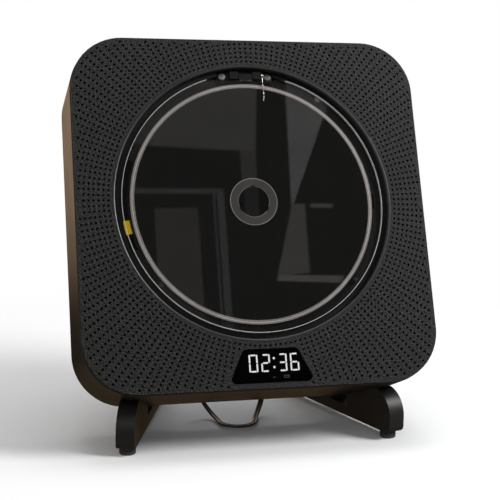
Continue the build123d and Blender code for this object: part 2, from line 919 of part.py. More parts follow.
def wall_plate_screws():
    plate_back = body_depth + plate_thickness
    for x in (-plate_screw_x, plate_screw_x):
        shank = drum(plate_screw_radius, (body_depth - plate_screw_length, plate_back + root), x, plate_z)
        yield shank + drum(plate_head_radius, (plate_back, plate_back + plate_head_height), x, plate_z)


def grommets():
    for x in grommet_x:
        yield drum(grommet_radius, (back_face, body_depth + grommet_proud), x, grommet_z)


# ---- Feet ----

damper_places = [(x, z) for x in damper_x for z in (-damper_z, damper_z)]
switch_place = on_circle(switch_reach, switch_angle)
# The foot meets the housing's back face over its lower half: its flange is centred there,
# beside the battery cradle.
flange_place = (foot_back_start + foot_back_end) / 2
flange_x = cell_half + cradle_margin + cradle_gap + boss_radius + foot_screw_offset
axis_height = edge_clearance + body_depth * sin(radians(lean)) - body_floor * cos(radians(lean))
seat = Pos(0, 0, axis_height) * Rot(-lean, 0, 0)
back_edge = seat * Pos(0, body_depth, body_floor)
edge_y = back_edge.position.Y
edge_z = back_edge.position.Z
nose_x = flange_x + flange_place * sin(radians(splay))
nose_y = edge_y - nose_reach


def along(distance):
    """Place on the floor of a distance along the right foot's middle line."""
    turn = radians(splay)
    return nose_x - distance * sin(turn), nose_y + distance * cos(turn)


foot_screw_places = [
    (side * (flange_x + offset), foot_screw_z)
    for side in (-1, 1)
    for offset in (-foot_screw_offset, foot_screw_offset)
]


def foot(side):
    outline = Polygon(
        (0, 0),
        (0, foot_top - pad_thickness),
        (foot_back_start - foot_ramp, foot_top - pad_thickness),
        (foot_back_start, foot_back_height - pad_thickness),
        (foot_back_end, foot_back_height - pad_thickness),
        (foot_length, foot_tail_height - pad_thickness),
        (foot_length, 0),
        align=None,
    )
    corners = outline.vertices().sort_by(Axis.X)
    nose = corners[0:2].sort_by(Axis.Y)
    outline = fillet(nose[1], foot_round)
    outline = fillet(outline.vertices().sort_by(Axis.X)[0:1], foot_toe)
    top = outline.vertices().sort_by(Axis.Y)[-2:].sort_by(Axis.X)[1]
    outline = fillet(top, foot_back_round)
    fin = extrude(outline, foot_thickness / 2, both=True)
    fin = Pos(nose_x, nose_y, pad_thickness) * Rot(0, 0, 90 + splay) * Rot(90, 0, 0) * fin
    ahead, behind, below = relief
    relief_z = (edge_z - below, edge_z - below + relief_height)
    fin -= block((0, body_width), (edge_y - ahead, edge_y + behind), relief_z)
    fin += seat * block(
        (flange_x - flange_half, flange_x + flange_half),
        (body_depth + seat_gap, body_depth + seat_gap + flange_thickness),
        flange_span,
    )
    fin -= seat * slab(-seat_gap, (-body_depth, body_depth + seat_gap))
    flange_back = body_depth + seat_gap + flange_thickness
    for offset in (-foot_screw_offset, foot_screw_offset):
        x = flange_x + offset
        fin -= seat * drum(foot_screw_radius + slip, (body_depth, flange_back + overcut), x, foot_screw_z)
        fin -= seat * drum(foot_head_radius + slip, (flange_back, flange_back + driver_room), x, foot_screw_z)
    return fin if side > 0 else mirror(fin, Plane.YZ)


def foot_screws():
    head_start = body_depth + seat_gap + flange_thickness
    for x, z in foot_screw_places:
        shank = drum(foot_screw_radius, (body_depth - foot_screw_depth, head_start + root), x, z)
        yield shank + drum(foot_head_radius, (head_start, head_start + foot_head_height), x, z)


def foot_pads():
    for distance in (pad_ends[0], foot_length - pad_ends[1]):
        x, y = along(distance)
        for side in (-1, 1):
            pad = Pos(side * x, y, pad_thickness / 2) * Cylinder(pad_radius, pad_thickness)
            yield fillet(pad.faces().sort_by(Axis.Z)[0].edges(), pad_round)


# ---- Carry loop ----

def grommet_mouth(x, ahead=0.0):
    """Point on a grommet's axis, ahead of its mouth."""
    return tuple((seat * Pos(x, body_depth + grommet_proud + ahead, grommet_z)).position)


cord_points = [
    grommet_mouth(grommet_x[0]),
    grommet_mouth(grommet_x[0], cord_exit),
    (-21.7, 24.0, 16.2),
    (-20.7, 24.2, 11.6),
    (-18.9, 22.8, 7.6),
    (-16.6, 20.6, 4.4),
    (-14.6, 17.4, 2.3),
    (-13.3, 13.2, 1.5),
    (-13.3, 8.4, 1.45),
    (-10.9, 4.2, 1.45),
    (-6.7, 1.8, 1.45),
    (-1.9, 1.8, 1.45),
    (2.3, 4.2, 1.45),
    (4.7, 8.4, 1.45),
    (5.6, 13.2, 1.6),
    (7.6, 17.2, 3.0),
    (9.8, 20.4, 5.6),
    (11.4, 22.8, 9.2),
    (12.0, 23.8, 13.2),
    (11.8, 23.6, 17.0),
    grommet_mouth(grommet_x[1], cord_exit),
    grommet_mouth(grommet_x[1]),
]


def carry_loop():
    runs = [Vector(*end) - Vector(*start) for start, end in zip(cord_points, cord_points[1:])]
    radii = []
    for before, after in zip(runs, runs[1:]):
        half_turn = radians(before.get_angle(after)) / 2
        radii.append(0.45 * min(before.length, after.length) * cos(half_turn) / sin(half_turn))
    print("cord radii", [round(radius, 1) for radius in radii])
    print("cord runs", [round(run.length, 1) for run in runs])
    route = FilletPolyline(*cord_points, radius=radii)
    section = Plane(origin=route @ 0, z_dir=route % 0) * Circle(cord_width / 2)
    tube = sweep(section, path=route)
    print("cord length", round(route.length, 1), "volume share", tube.volume / (route.length * section.area))
    return tube


# ---- Assembly ----

upright = {
    "front_grille": front_grille(),
    "side_band": side_band(),
    "rear_cover": rear_cover(),
    "well_rim": well_rim(),
    "deck": deck(),
    "marker_strip": sector(strip_inner, strip_outer, strip_angles, (deck_level - strip_thickness, deck_level))
    - sector(strip_inner - overcut, strip_outer + overcut, mark_angles, (0, deck_level)),
    "marker_block": sector(strip_inner, strip_outer, mark_angles, (deck_level - strip_thickness, deck_level)),
    "disc": drum(disc_radius, (disc_level, disc_back)) - drum(disc_hole, (0, disc_back + overcut)),
    "turntable": turntable(),
    "disc_clamps": group(clamp(index) for index in range(clamp_count)),
    "dust_cover": dust_cover(),
    "hinge_bracket": hinge_bracket(),
    "hinge_pin": hinge_pin(),
    "hinge_screws": group(hinge_screws()),
    "lid_spring": lid_spring(),
    "lid_switch_pin": lid_switch_pin(),
    "lid_switch": lid_switch(),
    "lid_bumpers": group(lid_bumpers()),
    "mechanism_chassis": chassis(),
    "spindle_motor": spindle_motor(),
    "pickup_sled": pickup_sled(),
    "pickup_lens": pickup_lens(),
    "dampers": group(dampers()),
    "damper_screws": group(damper_screws()),
    "guide_rods": group(guide_rods()),
    "lead_screw": bar(screw_radius, (rod_start, rod_end), rod_level, screw_offset),
    "sled_motor": sled_motor(),
    "main_board": main_board(),
    "board_parts": group(board_parts()),
    "battery_cradle": battery_cradle(),
    "battery_cells": group(battery_cells()),
    "display_window": window_plate((0, window_thickness)),
    "display_segments": group(display_segments()),
    "display_module": display_module(),
    "speaker_left": speaker(-speaker_x),
    "speaker_right": speaker(speaker_x),
    "speaker_cones": group(speaker_cone(x) for x in (-speaker_x, speaker_x)),
    "key_board": key_board(),
    "headphone_jack": headphone_jack(),
    "power_inlet": power_inlet(),
    "rear_screws": group(rear_screws()),
    "wall_plate": wall_plate(),
    "wall_plate_screws": group(wall_plate_screws()),
    "foot_screws": group(foot_screws()),
    "grommets": group(grommets()),
}
for name, middle in zip(button_names, button_middles):
    upright[name] = button(middle)

standing = {name: seat * shape for name, shape in upright.items()}
standing["foot_left"] = foot(-1)
standing["foot_right"] = foot(1)
standing["foot_pads"] = group(foot_pads())
standing["carry_loop"] = carry_loop()

own_pieces = [shape for name, shape in standing.items() if name != "carry_loop"]
reach = Compound(own_pieces).bounding_box()
stand_shift = -(reach.min.Y + reach.max.Y) / 2
for name, shape in standing.items():
    export_step(Pos(0, stand_shift, 0) * shape, f"parts/{name}.step")
print("shift", stand_shift, "size", reach.size, "low", reach.min.Z)
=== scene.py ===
import json
from math import atan2, cos, hypot, pi, radians, sin

import bmesh
import bpy
from mathutils import Matrix, Vector


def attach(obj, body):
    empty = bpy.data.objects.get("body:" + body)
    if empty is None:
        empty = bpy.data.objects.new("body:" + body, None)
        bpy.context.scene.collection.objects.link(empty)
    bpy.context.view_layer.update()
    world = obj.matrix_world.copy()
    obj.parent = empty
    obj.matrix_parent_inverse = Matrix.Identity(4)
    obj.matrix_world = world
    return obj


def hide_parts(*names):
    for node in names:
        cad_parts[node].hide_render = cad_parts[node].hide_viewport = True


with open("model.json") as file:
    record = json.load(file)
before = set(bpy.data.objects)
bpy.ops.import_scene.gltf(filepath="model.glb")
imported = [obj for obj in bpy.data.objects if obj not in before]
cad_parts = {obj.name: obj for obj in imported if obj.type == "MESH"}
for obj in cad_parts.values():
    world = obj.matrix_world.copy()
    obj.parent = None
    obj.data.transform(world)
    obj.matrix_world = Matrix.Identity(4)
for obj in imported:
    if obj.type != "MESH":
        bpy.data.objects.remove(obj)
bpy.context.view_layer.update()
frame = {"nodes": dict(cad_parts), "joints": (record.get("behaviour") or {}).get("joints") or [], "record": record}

scene = bpy.context.scene
scene.view_settings.view_transform = "Standard"

# The pieces made here are drawn in millimetres on the upright player: X right, Y back from the front plate,
# Z up, zero where the disc's axis meets the front plate. The seat matrix leans them back in place.
discLevel = 3.3
milli = 0.001
spinJoint = next(joint for joint in frame["joints"] if joint["name"] == "disc_spin")
backwards = Vector(spinJoint["axis"])
lean = atan2(-backwards.z, backwards.y)
heart = Vector(spinJoint["pos_m"]) - backwards * discLevel * milli
upright = Matrix.Translation(heart) @ Matrix.Rotation(-lean, 4, "X")
seat = upright @ Matrix.Scale(milli, 4)


cameraPlace = {
    "turn": 0.27428, "drop": 0.16529, "roll": 0.02807,   # radians
    "distance": 0.601606, "right": -0.016548, "up": 0.014509,
    "lens": 90.138, "sensor": 36, "shiftX": -0.08, "shiftY": -0.04, "clip": 0.01,
}


def addCamera():
    place = cameraPlace
    turn, drop, roll = place["turn"], place["drop"], place["roll"]
    ahead = Vector((sin(turn) * cos(drop), cos(turn) * cos(drop), -sin(drop)))
    across = Vector((cos(turn), -sin(turn), 0))
    over = across.cross(ahead)
    right = cos(roll) * across + sin(roll) * over
    up = -sin(roll) * across + cos(roll) * over
    spot = heart - ahead * place["distance"] - right * place["right"] - up * place["up"]
    lens = bpy.data.cameras.new("camera")
    lens.lens = place["lens"]
    lens.sensor_width = place["sensor"]
    lens.shift_x = place["shiftX"]
    lens.shift_y = place["shiftY"]
    lens.clip_start = place["clip"]
    camera = bpy.data.objects.new("camera", lens)
    scene.collection.objects.link(camera)
    axes = Matrix((right, up, -ahead)).transposed().to_4x4()
    camera.matrix_world = Matrix.Translation(spot) @ axes
    scene.camera = camera
    return spot


cameraSpot = addCamera()
print("camera set")


class Flow:
    # a shader value; arithmetic on it adds Math nodes
    def __init__(self, finish, socket):
        self.finish = finish
        self.socket = socket

    def math(self, operation, other, flipped=False):
        pair = (self, other) if not flipped else (other, self)
        return self.finish.node("ShaderNodeMath", {"operation": operation}, {0: pair[0], 1: pair[1]})

    def __add__(self, other):
        return self.math("ADD", other)

    __radd__ = __add__

    def __sub__(self, other):
        return self.math("SUBTRACT", other)

    def __rsub__(self, other):
        return self.math("SUBTRACT", other, True)

    def __mul__(self, other):
        return self.math("MULTIPLY", other)

    __rmul__ = __mul__

    def __gt__(self, other):
        return self.math("GREATER_THAN", other)


class Finish:
    # one material and the nodes that paint it
    def __init__(self, name, **constants):
        self.material = bpy.data.materials.new(name)
        self.material.use_nodes = True
        self.tree = self.material.node_tree
        self.shader = self.tree.nodes["Principled BSDF"]
        self.output = self.tree.nodes["Material Output"]
        for key, value in constants.items():
            self.set(key, value)

    def node(self, kind, settings=None, values=None, output=0):
        made = self.tree.nodes.new(kind)
        for key, value in (settings or {}).items():
            setattr(made, key, value)
        for key, value in (values or {}).items():
            self.feed(made.inputs[key], value)
        return Flow(self, made.outputs[output])

    def feed(self, entry, value):
        if isinstance(value, Flow):
            self.tree.links.new(value.socket, entry)
        elif entry.type == "RGBA" and isinstance(value, tuple):
            entry.default_value = (*value[:3], 1)
        else:
            entry.default_value = value

    def set(self, key, value):
        names = {"color": "Base Color", "rough": "Roughness", "metal": "Metallic", "normal": "Normal",
                 "coat": "Coat Weight", "coatRough": "Coat Roughness", "specular": "Specular IOR Level",
                 "glow": "Emission Color", "glowStrength": "Emission Strength"}
        self.feed(self.shader.inputs[names[key]], value)

    def place(self):
        # metres on the piece itself
        return self.node("ShaderNodeTexCoord", output="Object")

    def uprightPlace(self):
        # metres on the upright player, zero at the middle of the disc
        settings = {"vector_type": "TEXTURE"}
        values = {"Vector": self.place(), "Location": heart, "Rotation": (-lean, 0, 0)}
        return self.node("ShaderNodeMapping", settings, values)

    def split(self, vector):
        made = self.node("ShaderNodeSeparateXYZ", None, {0: vector})
        return [Flow(self, socket) for socket in made.socket.node.outputs]

    def noise(self, place, size, detail=3.0, rough=0.5, stretch=None):
        if stretch:
            place = self.node("ShaderNodeMapping", None, {"Vector": place, "Scale": stretch})
        values = {"Vector": place, "Scale": 1 / size, "Detail": detail, "Roughness": rough}
        return self.node("ShaderNodeTexNoise", None, values)

    def span(self, value, low, high, bottom=0.0, top=1.0):
        values = {"Value": value, "From Min": low, "From Max": high, "To Min": bottom, "To Max": top}
        return self.node("ShaderNodeMapRange", {"clamp": True}, values)

    def blend(self, factor, first, second):
        values = {"Factor": factor, 6: first, 7: second}
        return self.node("ShaderNodeMix", {"data_type": "RGBA"}, values, 2)

    def bump(self, height, distance):
        values = {"Height": height, "Distance": distance, "Strength": 1.0}
        return self.node("ShaderNodeBump", None, values)

    def reach(self, x, z):
        # distance from the disc's axis
        flat = self.node("ShaderNodeCombineXYZ", None, {"X": x, "Z": z})
        return self.node("ShaderNodeVectorMath", {"operation": "LENGTH"}, {0: flat}, 1)

    def mixed(self, factor, first, second):
        return self.node("ShaderNodeMixShader", None, {0: factor, 1: first, 2: second})

    def own(self):
        # what the material's own principled shader gives
        return Flow(self, self.shader.outputs[0])

    def show(self, flow):
        self.tree.links.new(flow.socket, self.output.inputs["Surface"])


def shades(color, amount):
    # a darker and a lighter version of a colour
    return [tuple(channel * share for channel in color) for share in (1 - amount, 1 + amount)]


finishes = {}


def moulded(name, color, rough, grain=0.00035, depth=0.00002, cloud=0.03, vary=0.12, **more):
    # moulded plastic or paint: a fine grain, cloudy gloss and a little dust
    made = Finish(name, **more)
    place = made.place()
    fine = made.noise(place, grain, 2.0, 0.6)
    broad = made.noise(place, cloud, 3.0, 0.55)
    dark, light = shades(color, vary)
    made.set("color", made.blend(broad * 0.7 + fine * 0.3, dark, light))
    made.set("rough", made.span(broad + 0.35 * fine, 0.4, 0.95, rough * 0.86, min(1.0, rough * 1.16)))
    made.set("normal", made.bump(fine, depth))
    finishes[name] = made


def bareMetal(name, color, rough, grain=0.0002, stretch=(1, 1, 12), **more):
    made = Finish(name, metal=1.0, **more)
    place = made.place()
    lines = made.noise(place, grain, 2.0, 0.6, stretch)
    broad = made.noise(place, 0.004, 2.0, 0.5)
    dark, light = shades(color, 0.14)
    made.set("color", made.blend(broad, dark, light))
    made.set("rough", made.span(lines + 0.4 * broad, 0.3, 1.1, rough * 0.7, rough * 1.35))
    made.set("normal", made.bump(lines, 0.000004))
    finishes[name] = made


platePaint = {
    "grain": 0.0011, "fine": 0.0004, "cloud": 0.045, "ridge": (0.42, 0.64), "ridgeDepth": 0.0002,
    "low": (0.0012, 0.0012, 0.0012), "high": (0.0185, 0.0180, 0.0176), "holeShade": (0.00015, 0.0007),
}


def grilleFinish():
    # leathery charcoal plate; painted shade darkens the bottoms of its holes
    made = Finish("grilleCharcoal", specular=0.32)
    place = made.uprightPlace()
    depth = made.split(place)[1]
    grain = made.noise(place, platePaint["grain"], 3.0, 0.6)
    fine = made.noise(place, platePaint["fine"], 2.0, 0.6)
    broad = made.noise(place, platePaint["cloud"], 2.0, 0.5)
    ridge = made.span(grain * 0.75 + fine * 0.25, *platePaint["ridge"])
    plain = made.blend(ridge * 0.8 + broad * 0.2, platePaint["low"], platePaint["high"])
    # painted shade: deeper down the holes the colour runs to the plate's darkest tone
    holeShade = made.span(depth, *platePaint["holeShade"])
    made.set("color", made.blend(holeShade, plain, platePaint["low"]))
    made.set("rough", made.span(fine * 0.5 + broad * 0.5, 0.3, 0.7, 0.42, 0.6))
    made.set("normal", made.bump(ridge, platePaint["ridgeDepth"]))
    finishes["grilleCharcoal"] = made


def bandFinish():
    # satin paint with a fine brushed drag along the housing's side
    made = Finish("bandSatin", specular=0.35)
    place = made.uprightPlace()
    drag = made.noise(place, 0.0006, 2.0, 0.6, (6, 1, 6))
    broad = made.noise(place, 0.05, 3.0, 0.5)
    made.set("color", made.blend(broad, (0.0125, 0.0112, 0.0100), (0.021, 0.0185, 0.016)))
    made.set("rough", made.span(drag * 0.4 + broad * 0.6, 0.3, 0.75, 0.3, 0.44))
    made.set("normal", made.bump(drag, 0.00001))
    finishes["bandSatin"] = made


# radii where each zone of the disc's face starts or ends, with the width of its soft edge
discPaint = {
    "silver": (0.05788, 0.05802), "lineStart": (0.05875, 0.0589), "lineEnd": (0.0593, 0.05915),
    "hub": (0.01168, 0.01182), "hubEdge": (0.01135, 0.0115), "holeEdge": (0.0079, 0.0077),
    "hubShadeHalf": 0.011, "streak": 0.0009, "turnScale": 0.06, "reachScale": 0.5,
    "silverTones": ((0.27, 0.23, 0.21), (0.76, 0.68, 0.64)), "lineHighlightTone": (1.0, 0.97, 0.95),
    "hubShadeTones": ((0.115, 0.105, 0.096), (0.08, 0.075, 0.07)), "hubStreak": (0.15, 0.14, 0.13),
    "hubEdgeHighlightTone": (0.75, 0.71, 0.68), "labelTones": ((0.0055, 0.0055, 0.0055), (0.0075, 0.0074, 0.0073)),
}


def discFinish():
    # glossy black label, bare silver edge with fine streaks and a painted highlight line, grey ring round the hole
    # with painted highlights on its edges and painted shade darkening it towards the top
    made = Finish("discFace", specular=0.5)
    place = made.uprightPlace()
    x, y, z = made.split(place)
    reach = made.reach(x, z)
    turn = made.node("ShaderNodeMath", {"operation": "ARCTAN2"}, {0: z, 1: x})
    along = {"X": turn * discPaint["turnScale"], "Y": reach * discPaint["reachScale"]}
    streaks = made.noise(made.node("ShaderNodeCombineXYZ", None, along), discPaint["streak"], 2.0, 0.7)
    silver = made.span(reach, *discPaint["silver"])
    # painted highlight: a thin pale line painted round the silver edge
    line = made.span(reach, *discPaint["lineStart"]) * made.span(reach, *discPaint["lineEnd"])
    hub = 1 - made.span(reach, *discPaint["hub"])
    # painted highlights: the ring's outer edge and the edge of the hole are painted pale
    edgeHighlights = made.span(reach, *discPaint["hubEdge"]) + 0.7 * made.span(reach, *discPaint["holeEdge"])
    body = made.blend(streaks, *discPaint["silverTones"])
    silverWithHighlight = made.blend(line, body, discPaint["lineHighlightTone"])
    # painted shade: the grey ring is lighter towards the bottom and darker towards the top
    half = discPaint["hubShadeHalf"]
    shadedRingTone = made.blend(made.span(z, -half, half), *discPaint["hubShadeTones"])
    ring = made.blend(streaks * 0.3, shadedRingTone, discPaint["hubStreak"])
    grey = made.blend(edgeHighlights * 0.6, ring, discPaint["hubEdgeHighlightTone"])
    label = made.blend(made.noise(place, 0.02), *discPaint["labelTones"])
    made.set("color", made.blend(silver, made.blend(hub, label, grey), silverWithHighlight))
    made.set("metal", silver * 0.3)
    made.set("rough", made.span(silver, 0, 1, 0.02, 0.3) + hub * 0.15)
    made.set("normal", made.bump(streaks * silver, 0.00002))
    finishes["discFace"] = made


lidPaint = {
    "edge": (0.06405, 0.06412), "edgeHighlightShare": 0.75, "leafFoot": (0.0612, 0.0614),
    "leafLeft": (-0.0088, -0.0086), "leafRight": (0.0088, 0.0086),
    "edgeHighlightTone": (0.72, 0.71, 0.70), "leafTone": (0.006, 0.006, 0.006),
}


def clearFinish():
    # thin clear sheet: reflects as acrylic does, lets light through; a painted highlight round its edge, a dark
    # hinge leaf
    made = Finish("clearSheet", specular=0.15)
    place = made.uprightPlace()
    x, y, z = made.split(place)
    reach = made.reach(x, z)
    haze = made.noise(place, 0.015, 3.0, 0.6)
    clear = made.node("ShaderNodeBsdfTransparent", None, {"Color": (0.97, 0.975, 0.975)})
    gloss = made.node("ShaderNodeBsdfGlossy", None, {"Color": (1.0, 1.0, 1.0), "Roughness": 0.015})
    mirror = made.node("ShaderNodeFresnel", None, {"IOR": 1.3})
    sheet = made.mixed(mirror * made.span(haze, 0.3, 0.7, 0.8, 1.1), clear, gloss)
    # painted highlight: the sheet's edge is painted pale and mostly opaque
    edge = made.span(reach, *lidPaint["edge"])
    sides = made.span(x, *lidPaint["leafLeft"]) * made.span(x, *lidPaint["leafRight"])
    leaf = made.span(z, *lidPaint["leafFoot"]) * sides
    made.set("color", made.blend(leaf, lidPaint["edgeHighlightTone"], lidPaint["leafTone"]))
    made.set("rough", 0.28 + leaf * 0.35)
    solid = edge * lidPaint["edgeHighlightShare"] * (1 - leaf) + leaf
    made.show(made.mixed(solid, sheet, made.own()))
    finishes["clearSheet"] = made


def smokedFinish():
    # dark gloss window that the lit digits shine through
    made = Finish("smokedWindow", color=(0.002, 0.002, 0.002), rough=0.09)
    place = made.place()
    haze = made.noise(place, 0.01, 3.0, 0.6)
    made.set("rough", made.span(haze, 0.3, 0.7, 0.07, 0.16))
    clear = made.node("ShaderNodeBsdfTransparent", None, {"Color": (0.82, 0.82, 0.82)})
    mirror = made.node("ShaderNodeFresnel", None, {"IOR": 1.45})
    facing = made.span(mirror + 0.1 * haze, 0.0, 1.0, 0.06, 1.0)
    made.show(made.mixed(facing, clear, made.own()))
    finishes["smokedWindow"] = made


def digitFinish(name, color, strength):
    made = Finish(name, rough=0.5, glowStrength=strength)
    made.set("color", color)
    spread = made.noise(made.place(), 0.002, 2.0, 0.5)
    dark, light = shades(color, 0.06)
    made.set("glow", made.blend(spread, dark, light))
    finishes[name] = made


grilleFinish()
bandFinish()
discFinish()
clearFinish()
smokedFinish()
digitFinish("litDigit", (0.97, 0.97, 0.97), 1.35)
digitFinish("dimMark", (0.20, 0.20, 0.20), 0.5)
moulded("wellBlack", (0.006, 0.006, 0.0061), 0.26, 0.0003, 0.000006, specular=0.4)
moulded("rimBlack", (0.010, 0.010, 0.010), 0.34, 0.0003, 0.000004, specular=0.9)
moulded("rearBlack", (0.017, 0.0165, 0.016), 0.55, 0.0006, 0.00005, specular=0.35)
moulded("footBlack", (0.0125, 0.0120, 0.0115), 0.42, 0.0004, 0.000015, specular=0.32)
moulded("buttonBlack", (0.020, 0.020, 0.0205), 0.36, 0.0003, 0.00001, specular=0.4)
moulded("partGrey", (0.05, 0.05, 0.052), 0.5)
moulded("stripBlack", (0.0012, 0.0012, 0.0012), 0.6, 0.0004, 0.000006, specular=0.08)
moulded("stripYellow", (1.0, 0.66, 0.008), 0.5, 0.0005, 0.000006, vary=0.03, specular=0.1)
moulded("softRubber", (0.018, 0.018, 0.018), 0.62, 0.0005, 0.00003)
moulded("cordJacket", (0.016, 0.013, 0.011), 0.3, 0.0005, 0.000008, coat=0.35, coatRough=0.2)
moulded("boardGreen", (0.02, 0.12, 0.05), 0.4, 0.0008, 0.00001)
moulded("chipBlack", (0.02, 0.02, 0.02), 0.5)
moulded("cellWrap", (0.05, 0.15, 0.32), 0.3, 0.002, 0.00001)
moulded("conePaper", (0.04, 0.04, 0.04), 0.8, 0.0008, 0.00006)
moulded("hubBlack", (0.0035, 0.0035, 0.0035), 0.75, 0.0016, 0.00016, vary=0.7, specular=0.12)
moulded("postGrey", (0.11, 0.105, 0.10), 0.25, 0.0003, 0.000004, specular=0.7)
moulded("lensBlue", (0.10, 0.14, 0.3), 0.06, 0.002, 0.000001, coat=1.0, coatRough=0.03)
bareMetal("brightSteel", (0.62, 0.61, 0.6), 0.22)
bareMetal("zincSheet", (0.36, 0.36, 0.37), 0.4, 0.0006)
bareMetal("motorCan", (0.55, 0.55, 0.56), 0.3)
bareMetal("darkSteel", (0.045, 0.043, 0.041), 0.35)
bareMetal("screwSteel", (0.62, 0.60, 0.57), 0.22, 0.0002, (1, 1, 1))
print("finishes:", len(finishes))

nodeFinishes = {
    "front_grille": "grilleCharcoal", "side_band": "bandSatin", "rear_cover": "rearBlack",
    "well_rim": "rimBlack", "deck": "wellBlack", "marker_strip": "stripBlack",
    "marker_block": "stripYellow", "disc": "discFace", "turntable": "hubBlack",
    "disc_clamps": "darkSteel", "dust_cover": "clearSheet", "hinge_bracket": "wellBlack",
    "hinge_pin": "hubBlack", "hinge_screws": "screwSteel", "lid_spring": "brightSteel",
    "lid_switch_pin": "postGrey", "lid_switch": "partGrey", "lid_bumpers": "softRubber",
    "mechanism_chassis": "zincSheet", "spindle_motor": "motorCan", "pickup_sled": "partGrey",
    "pickup_lens": "lensBlue", "dampers": "softRubber", "damper_screws": "brightSteel",
    "guide_rods": "brightSteel", "lead_screw": "partGrey", "sled_motor": "motorCan",
    "main_board": "boardGreen", "board_parts": "chipBlack", "battery_cradle": "partGrey",
    "battery_cells": "cellWrap", "display_window": "smokedWindow", "display_segments": "litDigit",
    "display_module": "stripBlack", "speaker_left": "partGrey", "speaker_right": "partGrey",
    "speaker_cones": "conePaper", "key_board": "boardGreen", "headphone_jack": "partGrey",
    "power_inlet": "zincSheet", "rear_screws": "brightSteel", "wall_plate": "zincSheet",
    "wall_plate_screws": "brightSteel", "foot_screws": "brightSteel", "grommets": "softRubber",
    "button_power": "buttonBlack", "button_mode": "buttonBlack", "button_previous": "buttonBlack",
    "button_play": "buttonBlack", "button_next": "buttonBlack", "foot_left": "footBlack",
    "foot_right": "footBlack", "foot_pads": "softRubber", "carry_loop": "cordJacket",
}
bodies = frame["record"]["behaviour"]["bodies"]
bodyOf = {node: body for body, members in bodies.items() for node in members}
for node, finish in nodeFinishes.items():
    mesh = frame["nodes"][node].data
    mesh.materials.clear()
    mesh.materials.append(finishes[finish].material)


def keepPiece(bm, name, node, matrix=None, sharp=35, replaces=True, finish=None):
    # turns a bmesh into a finished piece that rides with a node's body
    if matrix is not None:
        bmesh.ops.transform(bm, matrix=matrix, verts=bm.verts)
    mesh = bpy.data.meshes.new(name)
    bm.to_mesh(mesh)
    bm.free()
    mesh.materials.append(finishes[finish or nodeFinishes[node]].material)
    for polygon in mesh.polygons:
        polygon.use_smooth = True
    mesh.set_sharp_from_angle(angle=radians(sharp))
    piece = bpy.data.objects.new(name, mesh)
    scene.collection.objects.link(piece)
    flatten = piece.modifiers.new("flat faces stay flat", "WEIGHTED_NORMAL")
    flatten.keep_sharp = True
    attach(piece, bodyOf[node])
    if replaces:
        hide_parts(node)
    return piece


def bevelSharp(bm, width, segments=2, angle=30, edges=None):
    chosen = []
    for edge in edges or bm.edges:
        if len(edge.link_faces) == 2 and edge.calc_face_angle(0) > radians(angle):
            chosen.append(edge)
    bmesh.ops.bevel(bm, geom=chosen, offset=width, offset_type="OFFSET", affect="EDGES",
                    segments=segments, profile=0.5, material=-1, clamp_overlap=True)


def closeUp(bm):
    bmesh.ops.remove_doubles(bm, verts=bm.verts, dist=1e-5)
    bmesh.ops.recalc_face_normals(bm, faces=bm.faces)


def edgesOf(parts):
    # the edges of some faces, each once and always in the same order
    return list(dict.fromkeys(edge for part in parts for edge in part.edges))


def borderOf(edges):
    return [edge for edge in edges if len(edge.link_faces) == 1]


def onlyVerts(items):
    return [item for item in items if isinstance(item, bmesh.types.BMVert)]


def softCopy(node, width):
    # a copy of a node's solid with its sharp edges broken
    bm = bmesh.new()
    bm.from_mesh(frame["nodes"][node].data)
    bmesh.ops.remove_doubles(bm, verts=bm.verts, dist=2e-6)
    bmesh.ops.dissolve_limit(bm, angle_limit=radians(0.6), verts=bm.verts, edges=bm.edges,
                             use_dissolve_boundaries=False, delimit={"NORMAL"})
    bevelSharp(bm, width)
    keepPiece(bm, node + "_finished", node)


def turnedShape(profile, steps, closed=True):
    # a profile of radius and depth, turned about the disc's axis
    bm = bmesh.new()
    chain = [bm.verts.new((radius, depth, 0)) for radius, depth in profile]
    links = [bm.edges.new(pair) for pair in zip(chain, chain[1:])]
    if closed:
        links.append(bm.edges.new((chain[-1], chain[0])))
    bmesh.ops.spin(bm, geom=chain + links, cent=(0, 0, 0), axis=(0, 1, 0), angle=2 * pi,
                   steps=steps, use_merge=True)
    closeUp(bm)
    return bm


def roundedPlanes(corners, radius, steps):
    # tangent planes of a convex outline with rounded corners, as points and outward normals
    planes = []
    count = len(corners)
    middle = sum(corners, Vector((0, 0))) / count
    for index, corner in enumerate(corners):
        before = corners[index - 1]
        after = corners[(index + 1) % count]
        normals = []
        for start, end in ((before, corner), (corner, after)):
            run = (end - start).normalized()
            normal = Vector((run.y, -run.x))
            if normal.dot(start - middle) < 0:
                normal = -normal
            normals.append(normal)
        half = normals[0].angle(normals[1]) / 2
        bisector = (normals[0] + normals[1]).normalized()
        centre = corner - bisector * radius / cos(half)
        for step in range(steps + 1):
            share = step / steps
            normal = (normals[0] * (1 - share) + normals[1] * share).normalized()
            planes.append((centre + normal * radius, normal))
    return planes


def depthBeyond(planes, x, z):
    # how far a point lies outside a convex outline; negative inside
    return max(normal.dot(Vector((x, z)) - point) for point, normal in planes)


plate = {
    "halfWidth": 85.6, "top": 81.6, "floor": -90.6, "corner": 25.6, "cornerSteps": 14,
    "thickness": 2.4, "chamfer": 0.55, "wellRadius": 68.65, "plainRing": 0.75,
    "spokes": 180, "firstSpoke": -0.6, "ringPitch": 2.3, "reach": 117.0,
    "holeRadius": 0.6, "holeGrowth": 0.0018, "holeDepth": 1.5, "plainMargin": 1.5,
    "windowTop": 13.15, "windowBottom": 20.85, "windowHalf": 8.05, "windowX": 1.7, "windowMiddle": -80.0,
    "windowCorner": 2.45, "windowSteps": 5, "windowMargin": 0.85, "wholeShare": 0.96, "cellInset": 0.5,
    "lipSteps": 3, "lipBand": 0.05, "near": 0.01, "join": 1e-4,
}


